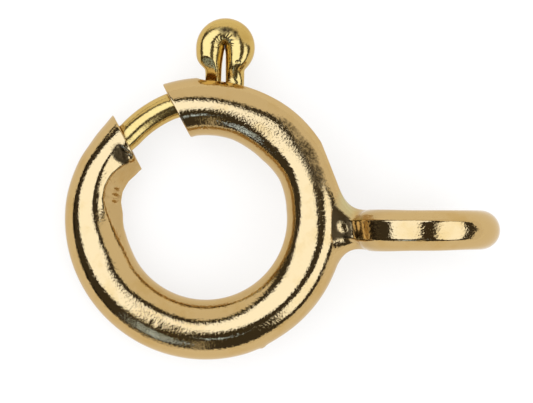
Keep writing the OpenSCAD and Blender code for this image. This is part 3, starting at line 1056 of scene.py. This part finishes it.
@dataclass
class TriggerBolt:
    """One length of wire: the tongue that closes the mouth, the folded trigger, and the tail.

    Attributes:
        ring_r: The clasp ring's outside radius.
        tongue_r: The tongue's radius.
        tongue_path_r: Radius of its middle line, which swings out by swing at the angles swing_deg.
        tip_deg: Where its tip is, round the ring.
        shoulder_deg: Where it narrows to the tail, between the two sides of shoulder_fade.
        bar_rows: Rows round the tip, along the tongue, over the shoulder, along the tail and round its end.
        bar_steps: Degrees from the tip, from the shoulder's two sides and from the tail's end to the
            nearest of those rows.
        bar_columns: Number of faces round the bar.
        tail_r: The tail's radius.
        tail_deg: Where the tail ends.
        trigger_deg: Where the trigger stands. It leans on by lean_deg.
        root_half_thick: Half the thickness of the trigger's legs. It grows to the head's over the heights
            thicken.
        head_r: The head's radius. Its middle stands head_height out of the tube.
        head_half_thick: Half the head's thickness.
        neck_width: Width across both legs. The left one bulges by bulge, at a height and over a reach.
        root: Height of the legs' ends, inside the tube.
        edge_rows: Rows along a leg, up the head's lower side, and over its upper side.
        smoothing: Rows on each side over which the outer edge is smoothed, and the spread of their weights.
        slit_half: Half the slit's width at the heights slit_height. It lies slit_shift to the side, and
            the pit at its top pit_shift, with shift_fade between.
        pit_top: The pit's height.
        pinch: The pinched plane on the left leg: its step from side to side, height and slope. It falls away
            from pinch_from along pinch_run.
        notch: The notch in the right leg: its depth, middle and reach.
        crease: The creases round the pit: their height, number, distance from the pit and reach.
        crease_waver: By how much they waver and how often round the pit, and the same away from it.
        crease_fade: Heights from the pit's own between which they fade in.
        rough_dark_paint_spots: Spots on the head that are rougher and more deeply pitted, and painted dark
            as a dark reflection: the middle and reach of each, and worn is how much.
        columns: Number of faces round the trigger's section.
    """

    ring_r: float
    tongue_r: float = 0.285
    tongue_path_r: float = 2.435
    swing_deg: tuple = (88, 96, 108, 132, 142)
    swing: tuple = (0.03, 0.08, 0.065, -0.03, -0.01)
    tip_deg: float = 146.62
    shoulder_deg: float = 77.5
    shoulder_fade: tuple = (-1.0, 3.0)
    bar_rows: tuple = (12, 150, 8, 30, 10)
    bar_steps: tuple = (6.9, 0.2, 0.4, 4.1)
    bar_columns: int = 48
    tail_r: float = 0.17
    tail_deg: float = 59.5
    trigger_deg: float = 82.3
    lean_deg: float = 6.4
    root_half_thick: float = 0.15
    thicken: tuple = (-0.06, 0.42)
    head_r: float = 0.625
    head_height: float = 0.665
    head_half_thick: float = 0.32
    neck_width: float = 0.825
    bulge: tuple = (0.035, 0.36, 0.16)
    root: float = -0.565
    edge_rows: tuple = (34, 30, 48)
    smoothing: tuple = (4, 1.6)
    slit_height: tuple = (0.0, 0.29, 0.5, 0.6, 0.63)
    slit_half: tuple = (0.045, 0.036, 0.0225, 0.009, 0.0008)
    slit_shift: float = -0.028
    pit_shift: float = -0.015
    shift_fade: tuple = (0.2, 0.62)
    pit_top: float = 0.7
    pinch: tuple = ((-0.205, -0.165), 0.27, 0.62)
    pinch_from: tuple = (-0.6, 0.535)
    pinch_run: tuple = (-0.55, -0.835)
    notch: tuple = (0.035, (0.27, 0.36), (0.035, 0.022))
    crease: tuple = (0.004, 17, 0.17, 0.09)
    crease_waver: tuple = (1.6, 5, 2, 30)
    crease_fade: tuple = (-0.12, 0.05)
    rough_dark_paint_spots: tuple = (((0.0, 1.03), (0.22, 0.08)), ((0.2, 0.96), (0.07, 0.1)))
    worn: float = 1.2
    columns: int = 96

    def tongue(self) -> Sheet:
        """The bent bar with round ends, whose rows stand closer at its ends and at the shoulder.

        Returns:
            The bar's sheet, from the tongue's tip to the tail's end.
        """
        tip_deg, end_deg = np.degrees([self.tongue_r / self.tongue_path_r, self.tail_r / self.tongue_path_r])
        low, high = (self.shoulder_deg + side for side in self.shoulder_fade)
        tip_rows, tongue_rows, shoulder_rows, tail_rows, end_rows = self.bar_rows
        from_tip, from_high, from_low, from_tail = self.bar_steps
        angle = np.concatenate([
            self.tip_deg - tip_deg * (1 - np.sin(np.linspace(np.pi / 2, 0, tip_rows))),
            np.linspace(self.tip_deg - from_tip, high, tongue_rows)[1:],
            np.linspace(high - from_high, low, shoulder_rows),
            np.linspace(low - from_low, self.tail_deg + from_tail, tail_rows),
            self.tail_deg + end_deg * (1 - np.sin(np.linspace(0, np.pi / 2, end_rows)))])
        shoulder = ease(angle, low, high)
        radius = self.tail_r + (self.tongue_r - self.tail_r) * shoulder
        radius = round_end(radius, np.radians(self.tip_deg - angle) * self.tongue_path_r, self.tongue_r)
        radius = round_end(radius, np.radians(angle - self.tail_deg) * self.tongue_path_r, self.tail_r)
        out = self.tongue_path_r + np.interp(angle, self.swing_deg, self.swing)
        turned = np.radians(angle)
        path = np.stack([out * np.cos(turned), out * np.sin(turned), np.zeros_like(out)], -1)
        up = np.tile([0.0, 0.0, 1.0], (len(path), 1))
        return round_bar(path, radius, up, self.bar_columns)

    def outlines(self) -> tuple[np.ndarray, np.ndarray]:
        """The folded wire's outer and inner edges, drawn with x across the trigger and y out of the tube.

        The outer edge goes up the left side, round the head's circle and down the right side. The inner
        edge goes up the slit at the same height, up the pit above it while the outer one goes over the
        head's top, and down again.

        Returns:
            Two arrays of the same number of points.
        """
        joined = self.head_height - math.sqrt(self.head_r ** 2 - (self.neck_width / 2) ** 2)
        low = np.degrees(np.arctan2(joined - self.head_height, -self.neck_width / 2)) % 360
        leg_rows, cheek_rows, crown_rows = self.edge_rows
        leg = np.linspace(self.root, joined, leg_rows)[:-1]
        bend = np.radians(np.concatenate([np.linspace(low, 180, cheek_rows)[:-1],
                                          np.linspace(180, 90, crown_rows)]))
        outer = np.concatenate([np.stack([np.full_like(leg, -self.neck_width / 2), leg], -1),
                                np.stack([self.head_r * np.cos(bend),
                                          self.head_height + self.head_r * np.sin(bend)], -1)])
        climb = self.head_height + (self.pit_top - self.head_height) * (180 - np.degrees(bend)) / 90
        height = np.concatenate([leg, np.where(bend >= np.pi, outer[len(leg):, 1], climb)])
        half = np.interp(height, self.slit_height, self.slit_half)
        inner = np.stack([-half, height], -1)
        flip = np.array([-1.0, 1.0])
        outer = np.concatenate([outer, (outer * flip)[-2::-1]])
        inner = np.concatenate([inner, (inner * flip)[-2::-1]])
        rows, spread = self.smoothing
        weights = np.exp(-0.5 * (np.arange(-rows, rows + 1) / spread) ** 2)
        weights /= weights.sum()
        bulge, at, reach = self.bulge
        outer[:, 0] -= bulge * (outer[:, 0] < 0) * np.exp(-((outer[:, 1] - at) / reach) ** 2)
        smooth = np.stack([np.convolve(np.pad(outer[:, k], rows, mode="edge"), weights, "valid")
                           for k in (0, 1)], -1)
        shift = (self.pit_shift - self.slit_shift) * ease(inner[:, 1], *self.shift_fade)
        inner[:, 0] += self.slit_shift + shift
        return smooth, inner

    def trigger(self) -> Sheet:
        """The folded wire: an oval section between the two edges, closed at the two roots.

        A section's point is the middle of the two edges, plus half of the way between them times the
        cosine of its angle, plus the half thickness times its sine, upwards. The left leg is pinched: left
        of a ridge its top falls away in a plane, with a step along the leg. A notch is pressed into the
        right leg. Round the pit the bend is creased: a cosine of the angle round it, weighed by distance.

        Returns:
            The trigger's sheet.
        """
        outer, inner = self.outlines()
        turn = np.linspace(0, 2 * np.pi, self.columns + 1)
        height = 0.5 * (outer[:, 1] + inner[:, 1])
        gain = self.head_half_thick - self.root_half_thick
        thick = self.root_half_thick + gain * ease(height, *self.thicken)
        flat = inner[:, None] + (outer - inner)[:, None] * (0.5 + 0.5 * np.cos(turn))[None, :, None]
        z = thick[:, None] * np.sin(turn)[None]
        x, y = flat[..., 0], flat[..., 1]
        beyond = self.pinch_run[0] * (x - self.pinch_from[0]) + self.pinch_run[1] * (y - self.pinch_from[1])
        step, top, slope = self.pinch
        pinch = (1 - ease(x, *step)) * (z > 0)
        z = z + pinch * (soft_min(z, np.maximum(top - slope * beyond, 0.0), BLUNT) - z)
        depth, (notch_x, notch_y), (wide, high) = self.notch
        z = z - depth * np.exp(-((x - notch_x) / wide) ** 2 - ((y - notch_y) / high) ** 2) * (z > 0)
        depth, number, ring, reach = self.crease
        away = np.hypot(x - self.pit_shift, y - self.pit_top)
        turned = np.arctan2(y - self.pit_top, x - self.pit_shift)
        sway, often, drift, rate = self.crease_waver
        crease = np.cos(number * turned + sway * np.sin(often * turned) + drift * np.sin(rate * away))
        crease = crease * np.exp(-((away - ring) / reach) ** 2)
        z = z + depth * crease * (z > 0) * ease(y, *(self.pit_top + side for side in self.crease_fade))
        local = np.stack([x, y, z], -1)
        caps = [local[row] * [0, 1, 0] + [(outer[row, 0] + inner[row, 0]) / 2, 0, 0] for row in (0, -1)]
        local = np.concatenate([caps[0][None], local, caps[1][None]])
        x, y, z = np.moveaxis(local, -1, 0)
        lean, at = math.radians(self.trigger_deg + self.lean_deg), math.radians(self.trigger_deg)
        points = np.stack([self.ring_r * math.cos(at) + x * math.sin(lean) + y * math.cos(lean),
                           self.ring_r * math.sin(at) - x * math.cos(lean) + y * math.sin(lean), z], -1)
        # Two spots on the head, roughened and painted dark as a dark reflection.
        spots = [np.exp(-((x - at_x) / wide) ** 2 - ((y - at_y) / high) ** 2)
                 for (at_x, at_y), (wide, high) in self.rough_dark_paint_spots]
        return Sheet(points, surface_lengths(points), None, self.worn * np.maximum(*spots) * (z > 0))

    def build(self, seat: Seat, material: bpy.types.Material) -> None:
        """Makes and dresses the tongue and the trigger."""
        for name, sheet in (("bolt_tongue", self.tongue()), ("bolt_trigger", self.trigger())):
            dress(Shell(name, [sheet]).build(seat), material, Slot.WIRE, Body.BOLT, "trigger_bolt")


@dataclass
class ReturnSpring:
    """The coil spring bent round inside the tube, from the trigger's neck to the crimp.

    Attributes:
        path_r: Radius of the tube's middle line.
        coil_r: Radius of the coil, at the wire's middle.
        wire_r: The wire's radius.
        from_deg: Where the spring begins, round the ring. It ends at to_deg.
        turns: Number of turns.
        steps: Number of rows in each.
        columns: Number of faces round the wire.
        end_share: How far the middles of its flat ends stand out, as a share of a row's step.
        closed_pitch: Pitch of the closed turn at each end, in thicknesses of the wire.
        bend_deg: Direction, through the ring's middle, from which the build works out a run; nothing moves
            the points by it.
        bend_from: Where points would leave the ring on that line, as a share of the path's radius. Not used.
    """

    path_r: float
    coil_r: float = 0.34
    wire_r: float = 0.055
    from_deg: float = 71.6
    to_deg: float = -173.2
    turns: int = 30
    steps: int = 26
    columns: int = 10
    end_share: float = 1e-3
    closed_pitch: float = 1.15
    bend_deg: float = 42.0
    bend_from: float = -0.85

    def coil(self) -> Sheet:
        """The wire: its middle winds round the ring's middle line, close at both ends and open between.

        Returns:
            The wire's sheet.
        """
        turn = np.linspace(0, self.turns, self.turns * self.steps + 1)
        closed = math.degrees(self.closed_pitch * 2 * self.wire_r / self.path_r)
        angle = np.radians(np.interp(turn, (0, 1, self.turns - 1, self.turns), (
            self.from_deg, self.from_deg - closed, self.to_deg + closed, self.to_deg)))
        wind = 2 * np.pi * turn
        out = self.path_r + self.coil_r * np.cos(wind)
        path = np.stack([out * np.cos(angle), out * np.sin(angle), self.coil_r * np.sin(wind)], -1)
        up = np.stack([np.cos(wind) * np.cos(angle), np.cos(wind) * np.sin(angle), np.sin(wind)], -1)
        path = np.concatenate([path[:1], path, path[-1:]])
        path[0] -= (path[2] - path[1]) * self.end_share
        path[-1] += (path[-2] - path[-3]) * self.end_share
        up = np.concatenate([up[:1], up, up[-1:]])
        radius = np.full(len(path), self.wire_r)
        radius[[0, -1]] = 0
        return round_bar(path, radius, up, self.columns)

    def build(self, seat: Seat, material: bpy.types.Material) -> None:
        """Makes the spring with its steel, and hides the CAD spring; a bend towards the bolt is worked out
        but not used.

        Args:
            seat: Where the clasp's drawing lies in the row frame.
            material: The spring's steel.
        """
        spring = Shell("return_coil", [self.coil()], weld_mm=0.00001).build(seat)
        spring.data.materials.append(material)
        bend = math.radians(self.bend_deg)
        run = self.path_r * np.array([math.cos(bend), math.sin(bend), 0.0])
        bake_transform(spring)
        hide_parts("return_spring")
        log.info("return_coil: %d faces, bends from the ring to the bolt", len(spring.data.polygons))


@dataclass
class Studio:
    """A white table, soft lights and white and black cards, as the reflections show them.

    The lights and walls are drawn on a flat map of the sky over the ring. A point's distance from the
    map's middle is its angle from the ring's axis, in degrees, with the end ring's side to the right.

    Attributes:
        seat: Where the clasp's drawing lies in the row frame.
        away: How far off the lights and walls stand, in metres.
        floor_r: The table's radius in metres. It lies floor_drop below the clasp.
        picture_middle: The middle of the picture in the clasp's drawing, in millimetres.
        camera_away_mm: How far off the camera stands.
        main_box: The large softbox's outline on the map.
        side_box: The smaller softbox's.
        cool_panes: Arcs of window light: their first and last angle, and nearest and furthest distance.
        thin_strip: The outline of a dim strip.
        wall_deg: Angles round the map, and wall_inner the white wall's upper edge there. It goes down to
            horizon_deg, past the table.
        skirt_deg: The same for the low wall on the other side, whose upper edge is skirt_inner.
        card: Corners of the black card on the table, in millimetres.
        main_glow: The large softbox's brightness for each channel. For the others it is side_glow,
            pane_glow, strip_glow, wall_glow and card_glow.
        room_colour: The dark room that the metal reflects beside them.
        table_colour: The table's own colour, with table_roughness and table_gloss.
        table_glow: How bright it is lit from below.
    """

    seat: Seat
    away: float = 0.5
    floor_r: float = 0.7
    floor_drop: float = 2e-6
    picture_middle: tuple[float, float] = (60.6 * MM_PER_PX, 17.1 * MM_PER_PX)
    camera_away_mm: float = 200.0
    main_box: tuple = ((-67, 12), (-63, 0), (-60, -11), (-55, -20), (-45, -26), (-34, -30), (-24, -31),
                       (-15, -25), (-9, -18), (-4, -10), (-1, -4), (1, 0), (5, 3), (8, 7), (10, 13), (6, 22),
                       (-4, 33), (-24, 42), (-38, 39), (-53, 33), (-66, 24))
    side_box: tuple = ((33, 0), (35, 7), (44, 6), (56, 2), (64, -2), (63, -12), (59, -22), (54, -32),
                       (47, -42), (36, -50), (22, -30), (14, -18), (20, -13), (28, -9))
    cool_panes: tuple = ((236, 252, 52, 54), (238, 259, 57.5, 59.5), (234, 247, 62, 64), (240, 256, 66, 69),
                         (232, 250, 72, 74), (268, 284, 29, 32))
    thin_strip: tuple = ((-5, -40), (-2, -40), (-5, -86), (-12, -86))
    wall_deg: tuple = (-8, 3, 8, 14, 20, 30, 45, 64, 84, 101, 116, 129, 139, 145)
    wall_inner: tuple = (87, 86, 68, 36, 23, 26, 30, 38, 41, 47, 58, 70, 81, 90)
    skirt_deg: tuple = (200, 240, 270, 300, 330, 352)
    skirt_inner: tuple = (86, 84, 82, 81, 80, 79)
    horizon_deg: float = 99.0
    card: tuple = ((-9.4, -45, 0.1), (-9.4, 26, 0.1), (-420, 400, 0.1), (-420, -420, 0.1))
    main_glow: tuple = (1.86, 2.2, 3.15)
    side_glow: tuple = (1.84, 2.15, 2.95)
    pane_glow: tuple = (1.25, 1.95, 3.9)
    strip_glow: tuple = (0.6, 0.6, 0.6)
    wall_glow: tuple = (1.06, 1.06, 1.06)
    card_glow: tuple = (0.03, 0.025, 0.02)
    room_colour: tuple = (0.07, 0.065, 0.058, 1.0)
    table_colour: str = "969696"
    table_roughness: float = 0.9
    table_gloss: float = 0.1
    table_glow: float = 0.66

    def light(self, name: str, points: np.ndarray, faces: np.ndarray, colour: tuple[float, float, float],
              floor_light: bool = True) -> bpy.types.Object:
        """A glowing panel that the camera doesn't see. Its colour shows in the metal, not on the table.

        Args:
            name: The panel's name.
            points: Its points in metres.
            faces: Its faces, as rows of point numbers.
            colour: Its brightness for each channel.
            floor_light: Whether it also lights the table.

        Returns:
            The panel.
        """
        mesh = bpy.data.meshes.new(name)
        mesh.from_pydata(points.tolist(), [], faces.tolist())
        glow, tree = empty_material(name + "_glow")
        ray = add_node(tree, "ShaderNodeLightPath")
        plain = sum(colour) / 3
        cast = add_node(tree, "ShaderNodeMix", {
            0: ray.outputs["Is Glossy Ray"], 6: (plain, plain, plain, 1.0), 7: (*colour, 1.0)},
            data_type="RGBA")
        lamp = add_node(tree, "ShaderNodeEmission", {"Color": cast.outputs[2], "Strength": 1.0})
        add_node(tree, "ShaderNodeOutputMaterial", {"Surface": lamp.outputs[0]})
        mesh.materials.append(glow)
        panel = put_in_scene(name, mesh)
        panel.visible_camera = False
        panel.visible_shadow = False
        panel.visible_diffuse = floor_light
        return panel

    def on_map(self, spread: np.ndarray) -> np.ndarray:
        """Points of the sky map, at the lights' distance, in the row frame's metres."""
        return self.seat.centre * MM + self.away * self.seat.direction(spread)

    def fan(self, name: str, outline: tuple, colour: tuple[float, float, float]) -> None:
        """A panel whose outline is drawn on the sky map, as a fan of triangles round its middle.

        Args:
            name: The panel's name.
            outline: Its corners on the map.
            colour: Its brightness for each channel.
        """
        edge = np.array(outline, float)
        points = self.on_map(np.concatenate([edge.mean(0)[None], edge]))
        at = np.arange(1, len(edge) + 1)
        self.light(name, points, np.stack([np.zeros_like(at), at, np.roll(at, -1)], -1), colour)

    def wall(self, name: str, around: tuple, inner: tuple) -> None:
        """A white wall round part of the clasp, from its upper edge on the sky map down past the table.

        Args:
            name: The wall's name.
            around: Angles round the map.
            inner: The distance of its upper edge from the map's middle at each of them.
        """
        turn = np.linspace(around[0], around[-1], 61)[:, None]
        upper = np.interp(turn, around, inner)
        reach = upper + np.linspace(0, 1, 9) * (self.horizon_deg - upper)
        spread = np.stack([reach * np.cos(np.radians(turn)), reach * np.sin(np.radians(turn))], -1)
        self.light(name, self.on_map(spread.reshape(-1, 2)), grid_faces(*reach.shape), self.wall_glow)

    def table(self) -> None:
        """The lit white table, and a black card on it outside the picture, towards the mouth's side."""
        turn = np.linspace(0, 2 * np.pi, 97)[:-1]
        rim = np.stack([self.floor_r * np.cos(turn), self.floor_r * np.sin(turn),
                        np.full_like(turn, -self.floor_drop)], -1)
        mesh = bpy.data.meshes.new("table")
        mesh.from_pydata(rim.tolist(), [], [list(range(len(turn)))])
        sheet = bpy.data.materials.new("white_acrylic_lit_from_below")
        sheet.use_nodes = True
        shader = sheet.node_tree.nodes["Principled BSDF"]
        shader.inputs["Base Color"].default_value = linear(self.table_colour)
        shader.inputs["Roughness"].default_value = self.table_roughness
        shader.inputs["Specular IOR Level"].default_value = self.table_gloss
        shader.inputs["Emission Color"].default_value = (1.0, 1.0, 1.0, 1.0)
        shader.inputs["Emission Strength"].default_value = self.table_glow
        mesh.materials.append(sheet)
        floor = put_in_scene("table", mesh)
        card = self.light("black_card", np.array(self.card) * MM, np.array([[0, 1, 2, 3]]), self.card_glow,
                          floor_light=False)
        card.visible_transmission = False

    def surround(self) -> None:
        """The dark room in the reflections, and the pale walls that fill the shadows."""
        world = bpy.data.worlds.new("studio")
        bpy.context.scene.world = world
        world.use_nodes = True
        tree = world.node_tree
        tree.nodes.clear()
        ray = add_node(tree, "ShaderNodeLightPath")
        room, paper = (add_node(tree, "ShaderNodeBackground", {"Color": colour, "Strength": 1.0})
                       for colour in (self.room_colour, (1.0, 1.0, 1.0, 1.0)))
        mixed = add_node(tree, "ShaderNodeMixShader", {
            0: ray.outputs["Is Glossy Ray"], 1: paper.outputs[0], 2: room.outputs[0]})
        add_node(tree, "ShaderNodeOutputWorld", {"Surface": mixed.outputs[0]})

    def camera(self) -> None:
        """The camera on the ring's own axis, so that the ring is seen face on."""
        scene = bpy.context.scene
        lens = bpy.data.cameras.new("camera")
        lens.sensor_width = 36.0
        lens.lens = 36.0 * self.camera_away_mm / (PHOTO_WIDTH_PX * MM_PER_PX)
        lens.clip_start, lens.clip_end = 0.001, 10.0
        eye = put_in_scene("camera", lens)
        at = self.seat.place(np.array([*self.picture_middle, self.camera_away_mm]))
        matrix = np.eye(4)
        matrix[:3, 0], matrix[:3, 1], matrix[:3, 2], matrix[:3, 3] = (
            self.seat.across, self.seat.along, self.seat.axis, at)
        eye.matrix_world = Matrix(matrix.tolist())
        scene.camera = eye
        scene.view_settings.view_transform = "Standard"

    def build(self) -> None:
        """Sets up the table, lights, cards, surround and camera."""
        self.table()
        self.fan("main_softbox", self.main_box, self.main_glow)
        self.fan("side_softbox", self.side_box, self.side_glow)
        for number, (first, last, near, far) in enumerate(self.cool_panes, 1):
            turn = np.radians(np.linspace(first, last, 9))
            inner = [(near * math.cos(a), near * math.sin(a)) for a in turn]
            outer = [(far * math.cos(a), far * math.sin(a)) for a in turn[::-1]]
            self.fan(f"cool_pane_{number}", (*inner, *outer), self.pane_glow)
        self.fan("thin_strip", self.thin_strip, self.strip_glow)
        self.wall("white_wall", self.wall_deg, self.wall_inner)
        self.wall("white_skirt", self.skirt_deg, self.skirt_inner)
        self.surround()
        self.camera()


def main() -> None:
    """Builds the studio and the clasp's pieces, and notes the size of what is shown."""
    seat = Seat.from_joint(frame["joints"][0])
    mounts = {mount["name"]: mount for mount in frame["record"]["mounts"]}
    hole, eye = mounts["catch_ring"]["dims"], mounts["end_ring_eye"]["dims"]
    tube_r = hole["length_mm"] / 2
    Studio(seat).build()
    gold = PolishedMetal("tumbled_gold_filled_tube").material()
    wire = PolishedMetal("drawn_gold_filled_wire", colour="C7A861", warm="B6944C", roughness=0.16,
                         pit_depth_mm=0.001).material()
    steel = PolishedMetal("bright_drawn_steel", colour="BFBDB6", warm="A9A69C", roughness=0.14).material()
    tube = TubeRing(hole["r_mm"] + tube_r, tube_r)
    tube.build(seat, gold)
    eye_r = eye["r_mm"] + eye["length_mm"]
    eye_at = (np.array(mounts["end_ring_eye"]["pos_m"]) / MM - seat.centre) @ np.stack(
        [seat.across, seat.along, seat.axis], 1)
    EndRing(tube, (float(eye_at[0]), float(eye_at[1])), eye_r, eye["length_mm"] / 2).build(seat, gold)
    TriggerBolt(tube.ring_r).build(seat, wire)
    ReturnSpring(tube.path_r).build(seat, steel)


if __name__ == "__main__":
    main()
